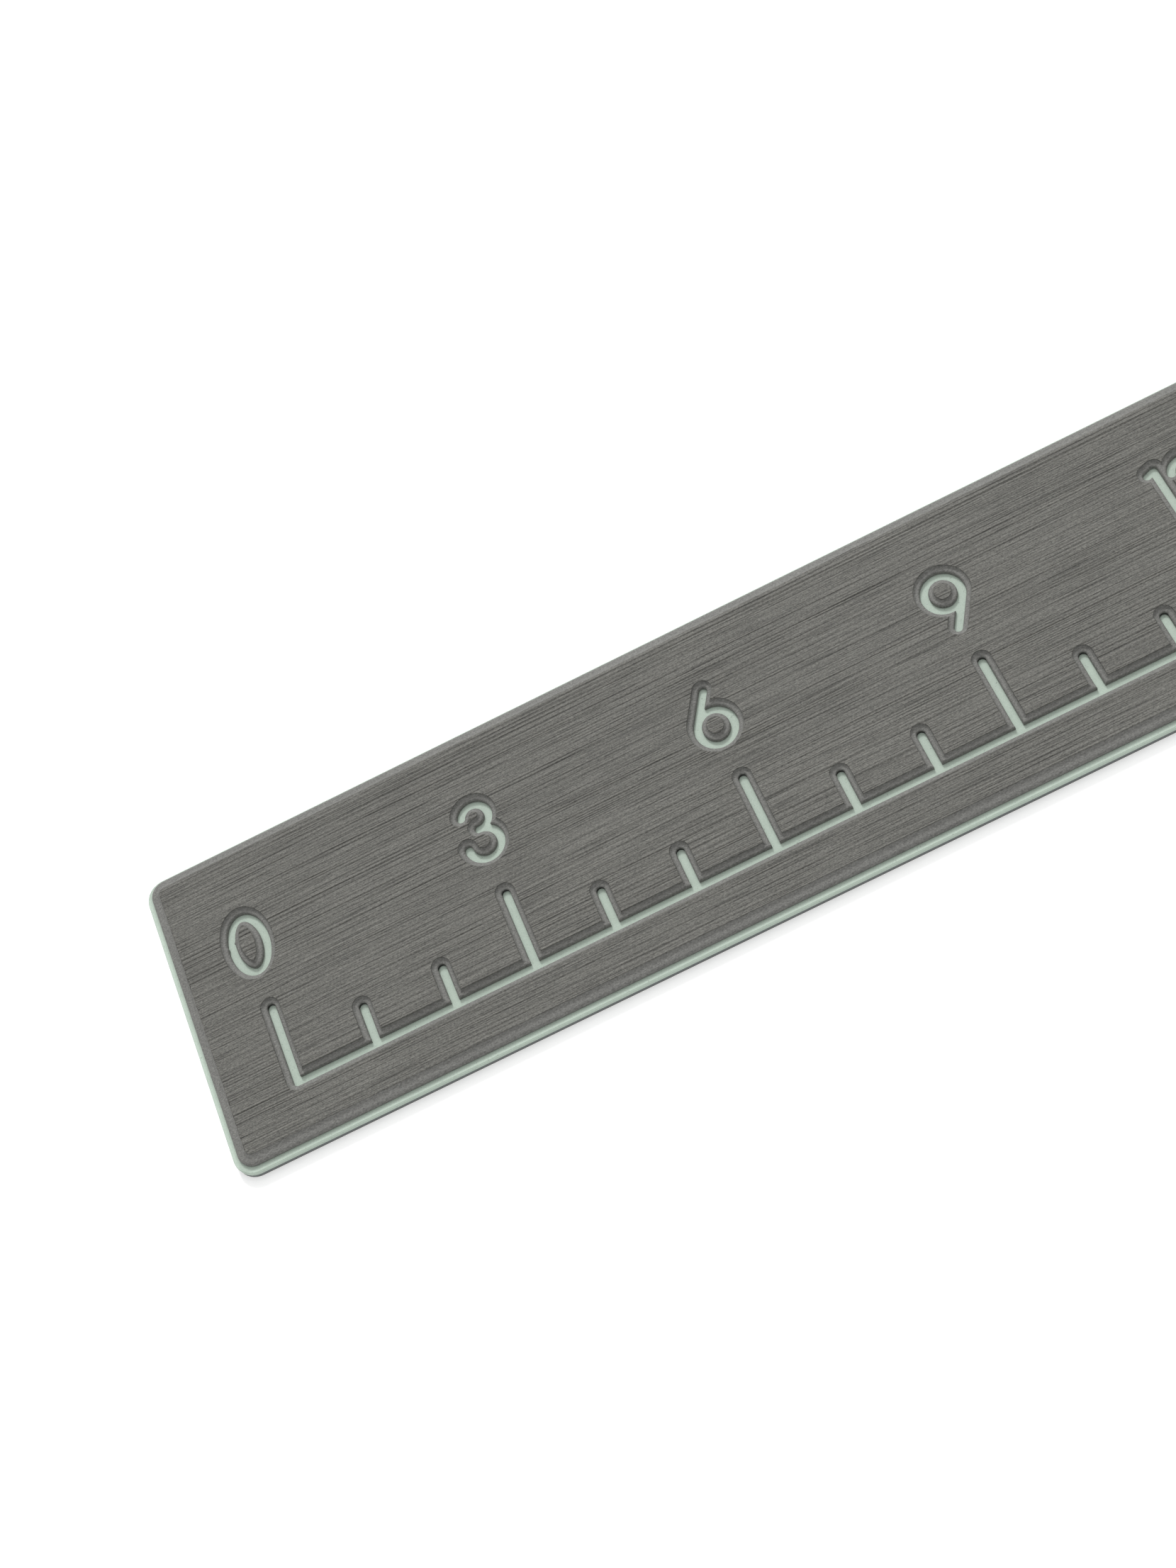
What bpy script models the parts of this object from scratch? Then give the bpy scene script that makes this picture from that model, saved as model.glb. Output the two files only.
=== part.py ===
"""Peel-and-stick foam fish ruler: three laminated EVA foam layers, routed marks, adhesive and liner.

Frame: metres, +Z up. X runs along the scale, Y across it with +Y towards the numbers' tops, and the
origin is under the middle of the ruler, on the surface that it lies on.
"""
import math

import bmesh
import bpy
from mathutils import Vector

INCH = 0.0254

# Outline
SCALE_INCHES = 36
END_MARGIN = 1.0 * INCH
LENGTH = SCALE_INCHES * INCH + 2.0 * END_MARGIN
WIDTH = 4.0 * INCH
CORNER_RADIUS = 0.0063
CORNER_SEGMENTS = 5

# Laminate, from the surface upwards. GAP is the clearance kept between neighbouring solids.
GAP = 0.0002
LINER_THICKNESS = 0.00015
FILM_THICKNESS = 0.00015
BASE_TOP = 0.0016
MINT_TOP = 0.0034
TOTAL_THICKNESS = 0.0060
FILM_BOTTOM = LINER_THICKNESS + GAP
BASE_BOTTOM = FILM_BOTTOM + FILM_THICKNESS + GAP
MINT_BOTTOM = BASE_TOP + GAP
SHEET_BOTTOM = MINT_TOP + GAP

# Routed edge of the top layer: a ledge of the middle layer, a short wall, then a rounded shoulder.
# The top layer is cut a little off centre, so the ledge is wider on the scale's side.
END_LEDGE = 0.00185
SIDE_LEDGE = 0.00143
SHEET_SHIFT_Y = 0.00047
WALL_TOP = MINT_TOP + 0.00075
SHOULDER_STEPS = ((0.0004, 0.0004), (0.0019, 0.0008), (0.0007, 0.00065))
MINT_EDGE_ROUND = 0.0005

# Routed marks: a round-ended cutter leaves a flat floor and a flared shoulder
FLOOR_HALF_WIDTH = 0.00128
FLARE = 0.0015
STEM_TRIM = 0.97
CUT_MARGIN = 0.0004
ROUND_STEP = math.radians(22.5)
MERGE_DISTANCE = 0.00002
SHARP_ANGLE = math.radians(30.0)
BASE_LINE_Y = -WIDTH / 2.0 + 0.0197
LONG_TICK = 0.0264
SHORT_TICK = 0.0136
TICK_END_INSET = FLOOR_HALF_WIDTH
NUMBER_STEP = 3

# Numbers, as centre lines drawn in metres from the foot of the figure
FIGURE_FOOT_Y = BASE_LINE_Y + 0.0385
FIGURE_HEIGHT = 0.0186
FIGURE_GAP = 0.0014
BOWL_RADIUS = 0.0055
BOWL_RISE = 0.0059
ZERO_HALF_WIDTH = 0.00525
NUMBER_SHIFTS = {6: -0.00025, 9: 0.0001, 12: 0.0001}


def clear_scene():
    """Remove whatever the file holds before the model is made."""
    for item in list(bpy.data.objects):
        bpy.data.objects.remove(item, do_unlink=True)


def make_collection(name):
    """Add a named collection to the scene."""
    collection = bpy.data.collections.new(name)
    bpy.context.scene.collection.children.link(collection)
    return collection


def make_material(name, colour, roughness):
    """Add a non-metallic Principled material."""
    material = bpy.data.materials.new(name)
    material.use_nodes = True
    shader = material.node_tree.nodes["Principled BSDF"]
    shader.inputs["Base Color"].default_value = (*colour, 1.0)
    shader.inputs["Roughness"].default_value = roughness
    shader.inputs["Metallic"].default_value = 0.0
    material.diffuse_color = (*colour, 1.0)
    return material


def add_object(name, bm, collection, material=None, parent=None):
    """Turn a bmesh into a named object, with its origin at the middle of its own box."""
    bmesh.ops.recalc_face_normals(bm, faces=bm.faces)
    lows = Vector([min(vert.co[axis] for vert in bm.verts) for axis in range(3)])
    highs = Vector([max(vert.co[axis] for vert in bm.verts) for axis in range(3)])
    middle = (lows + highs) / 2.0
    bmesh.ops.translate(bm, vec=-middle, verts=bm.verts)
    mesh = bpy.data.meshes.new(name)
    bm.to_mesh(mesh)
    bm.free()
    mesh.shade_smooth()
    mesh.set_sharp_from_angle(angle=SHARP_ANGLE)
    if material is not None:
        mesh.materials.append(material)
    item = bpy.data.objects.new(name, mesh)
    item.location = middle
    item.parent = parent
    collection.objects.link(item)
    return item


def rounded_slab(length, width, bottom, top, radius):
    """A flat slab with rounded corners in plan, as a bmesh."""
    bm = bmesh.new()
    bmesh.ops.create_cube(bm, size=1.0)
    bmesh.ops.scale(bm, vec=Vector((length, width, top - bottom)), verts=bm.verts)
    bmesh.ops.translate(bm, vec=Vector((0.0, 0.0, (top + bottom) / 2.0)), verts=bm.verts)
    corners = [edge for edge in bm.edges if abs(edge.verts[0].co.z - edge.verts[1].co.z) > 1e-6]
    bmesh.ops.bevel(bm, geom=corners, offset=radius, segments=CORNER_SEGMENTS, profile=0.5, affect="EDGES")
    return bm


def top_face(bm):
    """The upward face of a slab."""
    return max(bm.faces, key=lambda face: face.calc_center_median().z)


# Strokes: each returns (points, closed) for the centre line that the cutter follows

def arc(cx, cy, rx, ry, start, end):
    """An elliptical arc from one angle to another, in degrees."""
    count = max(2, math.ceil(abs(math.radians(end - start)) / ROUND_STEP))
    closed = abs(end - start) >= 360.0
    angles = [math.radians(start + (end - start) * i / count) for i in range(count if closed else count + 1)]
    return [(cx + rx * math.cos(a), cy + ry * math.sin(a)) for a in angles], closed


def line(*points):
    """A straight centre line between two points."""
    return list(points), False


def tangent_point(cx, cy, radius, x, y):
    """Where a line from (x, y) touches a circle on its left side."""
    reach = math.hypot(x - cx, y - cy)
    angle = math.atan2(y - cy, x - cx) + math.acos(radius / reach)
    return cx + radius * math.cos(angle), cy + radius * math.sin(angle)


def figure_six():
    """A slightly tall bowl with a straight leaning stem."""
    stretch = BOWL_RISE / BOWL_RADIUS
    tip = (0.00105, FIGURE_HEIGHT)
    x, y = tangent_point(0.0, BOWL_RADIUS, BOWL_RADIUS, tip[0], tip[1] / stretch)
    return [arc(0.0, BOWL_RISE, BOWL_RADIUS, BOWL_RISE, 0.0, 360.0), line(tip, (x, y * stretch))]


def half_turn(strokes):
    """The same strokes turned upside down about the figure's middle."""
    return [([(-x, FIGURE_HEIGHT - y) for x, y in points], closed) for points, closed in strokes]


def figure_strokes(figure):
    """Centre lines of one figure, about x = 0 with its foot at y = 0."""
    top = FIGURE_HEIGHT
    if figure == "0":
        return [arc(0.0, top / 2.0, ZERO_HALF_WIDTH, top / 2.0, 0.0, 360.0)]
    if figure == "1":
        return [line((0.0012, 0.0), (0.0012, top)), line((0.0012, top), (-0.0012, top - 0.0009))]
    if figure == "2":
        bow = 0.0046
        sweep, _ = arc(0.0, top - bow, bow, bow, 168.0, -38.0)
        return [(sweep, False), line(sweep[-1], (-0.0044, 0.0)), line((-0.0044, 0.0), (0.0046, 0.0))]
    if figure == "3":
        lower = 0.0051
        upper = top / 2.0 - lower
        shift = 0.0001
        return [
            arc(shift, top - upper, upper, upper, 160.0, -90.0),
            arc(-shift, lower, lower, lower, 90.0, -180.0),
        ]
    if figure == "4":
        knee = (-0.0062, 0.0046)
        return [line((0.0028, top), knee), line(knee, (0.0060, 0.0046)), line((0.0028, top), (0.0028, 0.0))]
    if figure == "5":
        bowl, _ = arc(-0.0004, 0.0057, 0.0057, 0.0057, 122.0, -158.0)
        return [line((0.0042, top), (-0.0024, top)), line((-0.0024, top), bowl[0]), (bowl, False)]
    if figure == "6":
        return figure_six()
    if figure == "7":
        return [line((-0.0053, top), (0.0053, top)), line((0.0053, top), (-0.0016, 0.0))]
    if figure == "8":
        lower = 0.0052
        upper = top / 2.0 - lower
        return [arc(0.0, lower, lower, lower, 0.0, 360.0), arc(0.0, top - upper, upper, upper, 0.0, 360.0)]
    return half_turn(figure_six())


def stroke_span(strokes):
    """Lowest and highest x of a figure's floor."""
    xs = [x for points, _ in strokes for x, _ in points]
    return min(xs) - FLOOR_HALF_WIDTH, max(xs) + FLOOR_HALF_WIDTH


def number_strokes(inch):
    """Centre lines of a number, set side by side and centred on its tick, give or take its own shift."""
    figures = [figure_strokes(figure) for figure in str(inch)]
    spans = [stroke_span(figure) for figure in figures]
    total = sum(high - low for low, high in spans) + FIGURE_GAP * (len(figures) - 1)
    cursor = tick_x(inch) + NUMBER_SHIFTS.get(inch, 0.0) - total / 2.0
    placed = []
    for figure, (low, high) in zip(figures, spans):
        for points, closed in figure:
            placed.append(([(x - low + cursor, y + FIGURE_FOOT_Y) for x, y in points], closed))
        cursor += high - low + FIGURE_GAP
    return placed


def offset_loop(points, distance):
    """A closed centre line moved sideways, positive outwards on a counter-clockwise loop."""
    count = len(points)
    moved = []
    for i, (x, y) in enumerate(points):
        ahead = Vector(points[(i + 1) % count]) - Vector(points[i - 1])
        normal = Vector((ahead.y, -ahead.x)).normalized()
        moved.append((x + normal.x * distance, y + normal.y * distance))
    return moved


def capsule_loop(points, radius):
    """Outline of an open stroke of constant width with round ends."""
    outline = []
    for side in (points, points[::-1]):
        for i, (x, y) in enumerate(side):
            before = Vector(side[max(i - 1, 0)])
            after = Vector(side[min(i + 1, len(side) - 1)])
            heading = math.atan2(after.y - before.y, after.x - before.x)
            if i < len(side) - 1:
                angles = [heading - math.pi / 2.0] if i else []
            else:
                steps = round(math.pi / ROUND_STEP)
                angles = [heading - math.pi / 2.0 + math.pi * k / steps for k in range(steps + 1)]
            outline.extend((x + radius * math.cos(a), y + radius * math.sin(a)) for a in angles)
    return outline


def add_ring(bm, outline, z):
    """A loop of vertices at one height."""
    return [bm.verts.new((x, y, z)) for x, y in outline]


def bridge(bm, lower, upper):
    """Join two loops of vertices with quads."""
    count = len(lower)
    for i in range(count):
        j = (i + 1) % count
        bm.faces.new((lower[i], lower[j], upper[j], upper[i]))


def stroke_cutter(name, points, closed, half_width, collection):
    """The space that a routed stroke takes away: straight at the floor, flared at the top."""
    flare_reach = FLARE * (TOTAL_THICKNESS + CUT_MARGIN - WALL_TOP) / (TOTAL_THICKNESS - WALL_TOP)
    levels = (
        (SHEET_BOTTOM - CUT_MARGIN, half_width),
        (WALL_TOP, half_width),
        (TOTAL_THICKNESS + CUT_MARGIN, half_width + flare_reach),
    )
    bm = bmesh.new()
    if closed:
        outer = [add_ring(bm, offset_loop(points, width), z) for z, width in levels]
        inner = [add_ring(bm, offset_loop(points, -width), z) for z, width in levels]
        for rings in (outer, inner):
            for lower, upper in zip(rings, rings[1:]):
                bridge(bm, lower, upper)
        bridge(bm, outer[0], inner[0])
        bridge(bm, outer[-1], inner[-1])
    else:
        rings = [add_ring(bm, capsule_loop(points, width), z) for z, width in levels]
        for lower, upper in zip(rings, rings[1:]):
            bridge(bm, lower, upper)
        bm.faces.new(rings[0])
        bm.faces.new(rings[-1])
    cutter = add_object(name, bm, collection)
    cutter.hide_render = True
    cutter.display_type = "WIRE"
    return cutter


def tick_x(inch):
    """Place of an inch mark along the ruler."""
    return -SCALE_INCHES * INCH / 2.0 + inch * INCH


def add_cutters(collection):
    """One cutter for the base line, one for each tick and one for each stroke of a number."""
    ends = [(tick_x(0), BASE_LINE_Y), (tick_x(SCALE_INCHES), BASE_LINE_Y)]
    stroke_cutter("cut_base_line", ends, False, FLOOR_HALF_WIDTH, collection)
    for inch in range(SCALE_INCHES + 1):
        reach = LONG_TICK if inch % NUMBER_STEP == 0 else SHORT_TICK
        points = [(tick_x(inch), BASE_LINE_Y + 0.0002), (tick_x(inch), BASE_LINE_Y + reach - TICK_END_INSET)]
        stroke_cutter(f"cut_tick_{inch}", points, False, FLOOR_HALF_WIDTH * STEM_TRIM, collection)
    for inch in range(0, SCALE_INCHES + 1, NUMBER_STEP):
        for i, (points, closed) in enumerate(number_strokes(inch)):
            half_width = FLOOR_HALF_WIDTH * (1.0 if i == 0 else STEM_TRIM)
            stroke_cutter(f"cut_{inch}_{i}", points, closed, half_width, collection)


def route_top_layer(cutters):
    """Cut the marks through the top layer's slab, which leaves one mesh of loose pieces."""
    length, width = LENGTH - 2.0 * END_LEDGE, WIDTH - 2.0 * SIDE_LEDGE
    bm = rounded_slab(length, width, SHEET_BOTTOM, WALL_TOP, CORNER_RADIUS - SIDE_LEDGE)
    bmesh.ops.translate(bm, vec=Vector((0.0, SHEET_SHIFT_Y, 0.0)), verts=bm.verts)
    for inset, rise in SHOULDER_STEPS:
        bmesh.ops.inset_region(bm, faces=[top_face(bm)], thickness=inset, depth=rise, use_even_offset=True)
    blank = add_object("top_foam_blank", bm, bpy.context.scene.collection)
    route = blank.modifiers.new("route", "BOOLEAN")
    route.operation = "DIFFERENCE"
    route.solver = "EXACT"
    route.operand_type = "COLLECTION"
    route.collection = cutters
    route.use_self = True
    depsgraph = bpy.context.evaluated_depsgraph_get()
    routed = bpy.data.meshes.new_from_object(blank.evaluated_get(depsgraph))
    routed.transform(blank.matrix_world)
    bpy.data.objects.remove(blank, do_unlink=True)
    return routed


def loose_pieces(mesh):
    """Groups of vertex indices that are joined to one another, largest group first."""
    bm = bmesh.new()
    bm.from_mesh(mesh)
    waiting = set(bm.verts)
    groups = []
    while waiting:
        front = [waiting.pop()]
        group = set(front)
        while front:
            for edge in front.pop().link_edges:
                for vert in edge.verts:
                    if vert in waiting:
                        waiting.discard(vert)
                        group.add(vert)
                        front.append(vert)
        groups.append({vert.index for vert in group})
    bm.free()
    return sorted(groups, key=len, reverse=True)


def keep_piece(mesh, keep):
    """A bmesh of one loose piece, with the boolean's stray points merged."""
    bm = bmesh.new()
    bm.from_mesh(mesh)
    unwanted = [vert for vert in bm.verts if vert.index not in keep]
    bmesh.ops.delete(bm, geom=unwanted, context="VERTS")
    bmesh.ops.remove_doubles(bm, verts=bm.verts, dist=MERGE_DISTANCE)
    bmesh.ops.dissolve_degenerate(bm, edges=bm.edges, dist=MERGE_DISTANCE)
    bmesh.ops.triangulate(bm, faces=bm.faces)
    return bm


def island_names(centres):
    """Name each loose island after its number, and the two of an eight by their place."""
    labels = {}
    for index, (x, y) in centres.items():
        inch = round((x - tick_x(0)) / (NUMBER_STEP * INCH)) * NUMBER_STEP
        labels.setdefault(inch, []).append((y, index))
    names = {}
    for inch, found in labels.items():
        for (_, index), place in zip(sorted(found), ("_lower", "_upper")):
            names[index] = f"island_{inch}{place if len(found) > 1 else ''}"
    return names


def add_top_layer(model, frame, cutters, material):
    """The top foam layer: one routed sheet, and an island inside each closed figure."""
    routed = route_top_layer(cutters)
    sheet, *islands = loose_pieces(routed)
    centres = {}
    for index, group in enumerate(islands):
        points = [routed.vertices[i].co for i in group]
        centres[index] = (sum(p.x for p in points) / len(points), sum(p.y for p in points) / len(points))
    names = island_names(centres)
    add_object("top_foam_sheet", keep_piece(routed, sheet), model, material, frame)
    for index, group in enumerate(islands):
        add_object(names[index], keep_piece(routed, group), model, material, frame)
    bpy.data.meshes.remove(routed)


def add_plain_layer(name, levels, model, frame, material, edge_round=0.0):
    """A full-size layer, with its upper edge eased where it shows."""
    bm = rounded_slab(LENGTH, WIDTH, *levels, CORNER_RADIUS)
    if edge_round:
        rim = list(top_face(bm).edges)
        bmesh.ops.bevel(bm, geom=rim, offset=edge_round, segments=2, profile=0.5, affect="EDGES")
    add_object(name, bm, model, material, frame)


def build():
    """Make every layer of the ruler."""
    clear_scene()
    model = make_collection("foam_fish_ruler")
    cutters = make_collection("router_cutters")
    grey_foam = make_material("grey_top_foam", (0.162, 0.162, 0.150), 0.85)
    mint_foam = make_material("mint_middle_foam", (0.434, 0.533, 0.456), 0.80)
    dark_foam = make_material("dark_base_foam", (0.120, 0.140, 0.136), 0.85)
    adhesive = make_material("acrylic_adhesive", (0.70, 0.69, 0.64), 0.30)
    paper = make_material("liner_paper", (0.78, 0.76, 0.70), 0.45)
    frame = bpy.data.objects.new("ruler_frame", None)
    model.objects.link(frame)
    add_cutters(cutters)
    liner = (0.0, LINER_THICKNESS)
    film = (FILM_BOTTOM, FILM_BOTTOM + FILM_THICKNESS)
    add_plain_layer("release_liner", liner, model, frame, paper)
    add_plain_layer("adhesive_film", film, model, frame, adhesive)
    add_plain_layer("base_foam_layer", (BASE_BOTTOM, BASE_TOP), model, frame, dark_foam)
    add_plain_layer("mint_foam_layer", (MINT_BOTTOM, MINT_TOP), model, frame, mint_foam, MINT_EDGE_ROUND)
    add_top_layer(model, frame, cutters, grey_foam)


build()
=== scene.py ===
"""Looks of the foam fish ruler: routed foam layers, brushed top skin, adhesive film and liner.

Lengths are worked in millimetres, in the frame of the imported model, and turned into metres when a mesh
is made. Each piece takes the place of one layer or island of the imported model.
"""
import math

import bpy
import numpy as np
from mathutils import Matrix, Vector
from mathutils.geometry import delaunay_2d_cdt


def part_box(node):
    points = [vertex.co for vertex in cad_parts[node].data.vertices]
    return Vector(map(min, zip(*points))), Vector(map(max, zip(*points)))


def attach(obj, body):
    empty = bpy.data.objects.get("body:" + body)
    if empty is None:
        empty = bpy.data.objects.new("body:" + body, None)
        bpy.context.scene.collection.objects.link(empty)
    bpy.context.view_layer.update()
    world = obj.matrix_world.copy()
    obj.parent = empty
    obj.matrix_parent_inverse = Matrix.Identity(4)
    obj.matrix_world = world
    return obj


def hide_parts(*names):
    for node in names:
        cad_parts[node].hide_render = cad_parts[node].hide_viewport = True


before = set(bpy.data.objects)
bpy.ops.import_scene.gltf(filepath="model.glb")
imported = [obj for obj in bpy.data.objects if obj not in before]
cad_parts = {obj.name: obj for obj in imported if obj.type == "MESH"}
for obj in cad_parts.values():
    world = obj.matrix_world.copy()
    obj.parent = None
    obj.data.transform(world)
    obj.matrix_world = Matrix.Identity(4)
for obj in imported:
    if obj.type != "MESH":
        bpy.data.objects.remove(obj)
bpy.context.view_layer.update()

MM = 0.001
INCH = 25.4


def box_mm(node):
    """A node's lowest and highest corner in millimetres."""
    low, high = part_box(node)
    return [value / MM for value in low], [value / MM for value in high]


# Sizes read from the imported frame
HALF_X, HALF_Y, FLOOR_Z = box_mm("mint_foam_layer")[1]
SHEET_LOW, SHEET_HIGH = box_mm("top_foam_sheet")
LINER_BOTTOM = box_mm("release_liner")[0][2]
BASE_TOP = box_mm("base_foam_layer")[1][2]
SHEET_HALF_X = (SHEET_HIGH[0] - SHEET_LOW[0]) / 2.0
SHEET_HALF_Y = (SHEET_HIGH[1] - SHEET_LOW[1]) / 2.0
SKIN_Z = SHEET_HIGH[2]
SCALE_INCHES = round(2.0 * HALF_X / INCH) - 2
BASE_LINE_Y = -HALF_Y + 19.7
LONG_TICK = 26.4
SHORT_TICK = 13.6
NUMBER_STEP = 3
CORNER_RADIUS = 6.3

# Outlines in plan: half length, half width, middle along Y and corner radius
LAYER_OUTLINE = (HALF_X, HALF_Y, 0.0, CORNER_RADIUS)
SHEET_RADIUS = CORNER_RADIUS - (HALF_Y - SHEET_HALF_Y)
SHEET_OUTLINE = (SHEET_HALF_X, SHEET_HALF_Y, (SHEET_HIGH[1] + SHEET_LOW[1]) / 2.0, SHEET_RADIUS)

# Cross-section of a routed mark, measured from the centre line of the stroke. A shoulder rises from the
# wall to the skin. It is flattest at a share of its width, and its slopes are at the wall, at the skin and
# at the flattest place.
FLOOR_HALF = 1.28
MARK_CRISP = 3.05
MARK_FLAT_AT = 0.42
MARK_SLOPES = (1.8, 2.5, 0.0)
WALL_HEIGHT = 0.86
# Cross-section of the routed outer edge, measured inwards from the sheet's outline
EDGE_CRISP = 3.1
EDGE_FLAT_AT = 0.30
EDGE_SLOPES = (1.8, 1.5, 0.05)
ABOVE_ALL = 1e6

# Figures, drawn as centre lines from their foot
FIGURE_FOOT_Y = BASE_LINE_Y + 38.5
FIGURE_TOP = 18.6
FIGURE_GAP = 1.4
BOWL = 5.5
BOWL_RISE = 5.9
NUMBER_SHIFTS = {6: -0.25, 9: 0.1, 12: 0.1}

# Crumbs of grey foam left on a wall: place from the foot of a tick, how far it grows, and size. A crumb is
# cut off at a number of sizes, and the outlines within its reach get closer points.
TICK_BURR = (-1.15, 1.75, 0.45, 0.50)
ZERO_BURRS = ((-6.5, 49.0, 0.40, 0.45), (-4.2, 50.2, 0.35, 0.55), (2.1, 1.1, 0.45, 0.45))
BURR_CUTOFF = 4.0
BURR_STEP = 0.2
BURR_REACH = 1.5

# Layers as they lie pressed together. The base's lower edge is drawn in a little. The mint's upper edge is
# rounded, with a narrow band inside the round.
LINER_TOP = 0.15
FILM_TOP = 0.30
BASE_INSET = 0.05
BASE_INSET_RISE = 0.1
MINT_ROUND = 0.35
MINT_BAND = 0.15

# Mesh density, and how far from a centre line or from a number's middle distances matter
SHOULDER_SHARES = np.array((0.0, 0.10, 0.28, 0.50, 0.72, 0.90, 1.0))
ARC_STEP = 5.0
CORNER_STEPS = 10
BASE_END_STEPS = 6
TICK_END_STEPS = 7
FAR_REACH = 6.0
NUMBER_REACH = 16.0
GRID_STEP = 0.12
TRIM_TOLERANCE = 0.006
LEAST_SPACE = 0.06
LEAST_AREA = 0.0005
LEAST_SHARE = 0.04
SIDE_LENGTH = 5.0
ROW_STEP = 0.2
COLUMN_STEP = 12.0
GOLDEN_SHARE = 0.618034
CLEARANCE = 0.07
STRETCH = 40.0
SHARP_ANGLE = math.radians(38.0)
SEED = 11

# Brushed relief: streak lengths with their weights, the widths that bound a streak, how many rows it may
# reach to each side, and its depth
STREAKS = ((240.0, 1.0), (60.0, 0.40), (24.0, 0.25))
STREAK_NARROW = 0.18
STREAK_WIDE = 0.50
STREAK_ROWS = 8
STREAK_MEAN = 0.13
STREAK_DEPTH = 0.078
DEEPEST_STREAK = 0.26

# Colours
SKIN_GREY = (0.169, 0.167, 0.151, 1.0)
CUT_GREY = (0.190, 0.190, 0.178, 1.0)
MINT = (0.460, 0.545, 0.470)
# Painted shade: share of the grey foam's colour left on the wall at the far end of each tick
TICK_END_PAINTED_SHADE = 0.18
BASE_GREY = (0.14, 0.155, 0.152)
FILM_COLOUR = (0.20, 0.21, 0.205)
LINER_COLOUR = (0.46, 0.45, 0.42)

# Ranges that hold most of a noise's values, for noise with a fine grain and for softer noise
FINE_NOISE = (0.35, 0.65)
SOFT_NOISE = (0.3, 0.7)

# Light on a level surface, as shares of full white. Lamps stand at an elevation, turned from +Y towards +X.
DOME = 0.50
KEY = {"elevation": 39.5, "azimuth": 5.0, "spread": 12.0, "share": 0.30}
FILL = {"elevation": 62.0, "azimuth": 10.0, "spread": 80.0, "share": 0.25}
FLOOR_GREY = 0.90
FLOOR_GLOW = 0.33

# The floor's reach in metres and its drop in millimetres. The camera's angles are in degrees, and its
# target and distance in metres.
FLOOR_REACH = 4.0
FLOOR_DROP = 0.02
CAMERA_ELEVATION, CAMERA_AZIMUTH, CAMERA_ROLL = 59.97, 5.24, 30.64
CAMERA_TARGET = Vector((-0.34636, 0.01749, 0.0))
CAMERA_DISTANCE = 0.706
CAMERA_LENS = 54.85


# ---------------------------------------------------------------- marks

def arc(cx, cy, rx, ry, start, end):
    """An elliptical arc between two angles in degrees."""
    count = max(4, math.ceil(abs(end - start) / ARC_STEP))
    angles = np.radians(np.linspace(start, end, count + 1))
    return np.stack([cx + rx * np.cos(angles), cy + ry * np.sin(angles)], axis=1)


def line(*points):
    """A straight run through the given points."""
    return np.array(points, dtype=float)


def figure_six():
    """A slightly tall bowl with a straight stem that leans away from it."""
    stretch = BOWL_RISE / BOWL
    tip = np.array([1.05, FIGURE_TOP])
    reach = tip / (1.0, stretch) - (0.0, BOWL)
    angle = math.atan2(reach[1], reach[0]) + math.acos(BOWL / math.hypot(*reach))
    touch = (BOWL * math.cos(angle), BOWL_RISE + BOWL_RISE * math.sin(angle))
    return [arc(0.0, BOWL_RISE, BOWL, BOWL_RISE, 0.0, 360.0), line(tip, touch)]


def figure_strokes(figure):
    """Centre lines of one figure about x = 0."""
    top = FIGURE_TOP
    if figure == "0":
        return [arc(0.0, top / 2.0, 5.25, top / 2.0, 0.0, 360.0)]
    if figure == "1":
        return [line((1.2, 0.0), (1.2, top), (-1.2, top - 0.9))]
    if figure == "2":
        bow = 4.6
        sweep = arc(0.0, top - bow, bow, bow, 168.0, -38.0)
        return [sweep, line(sweep[-1], (-4.4, 0.0), (4.6, 0.0))]
    if figure == "3":
        lower = 5.1
        upper = top / 2.0 - lower
        above = arc(0.1, top - upper, upper, upper, 160.0, -90.0)
        return [above, arc(-0.1, lower, lower, lower, 90.0, -180.0)]
    if figure == "4":
        return [line((2.8, 0.0), (2.8, top), (-6.2, 4.6), (6.0, 4.6))]
    if figure == "5":
        bowl = arc(-0.4, 5.7, 5.7, 5.7, 122.0, -158.0)
        return [line((4.2, top), (-2.4, top), bowl[0]), bowl]
    if figure == "6":
        return figure_six()
    if figure == "7":
        return [line((-5.3, top), (5.3, top), (-1.6, 0.0))]
    if figure == "8":
        lower = 5.2
        upper = top / 2.0 - lower
        above = arc(0.0, top - upper, upper, upper, 0.0, 360.0)
        return [arc(0.0, lower, lower, lower, 0.0, 360.0), above]
    return [np.array((0.0, top)) - stroke for stroke in figure_six()]


def tick_x(inch):
    """Place of an inch mark along the ruler."""
    return (inch - SCALE_INCHES / 2.0) * INCH


def number_segments(inch):
    """Centre-line segments of one number, as an array of (x0, y0, x1, y1)."""
    figures = [figure_strokes(figure) for figure in str(inch)]
    spans = []
    for strokes in figures:
        xs = np.concatenate(strokes)[:, 0]
        spans.append((xs.min() - FLOOR_HALF, xs.max() + FLOOR_HALF))
    total = sum(high - low for low, high in spans) + FIGURE_GAP * (len(figures) - 1)
    cursor = tick_x(inch) + NUMBER_SHIFTS.get(inch, 0.0) - total / 2.0
    rows = []
    for strokes, (low, high) in zip(figures, spans):
        for stroke in strokes:
            placed = stroke + (cursor - low, FIGURE_FOOT_Y)
            rows.append(np.hstack([placed[:-1], placed[1:]]))
        cursor += high - low + FIGURE_GAP
    return np.vstack(rows)


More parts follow.
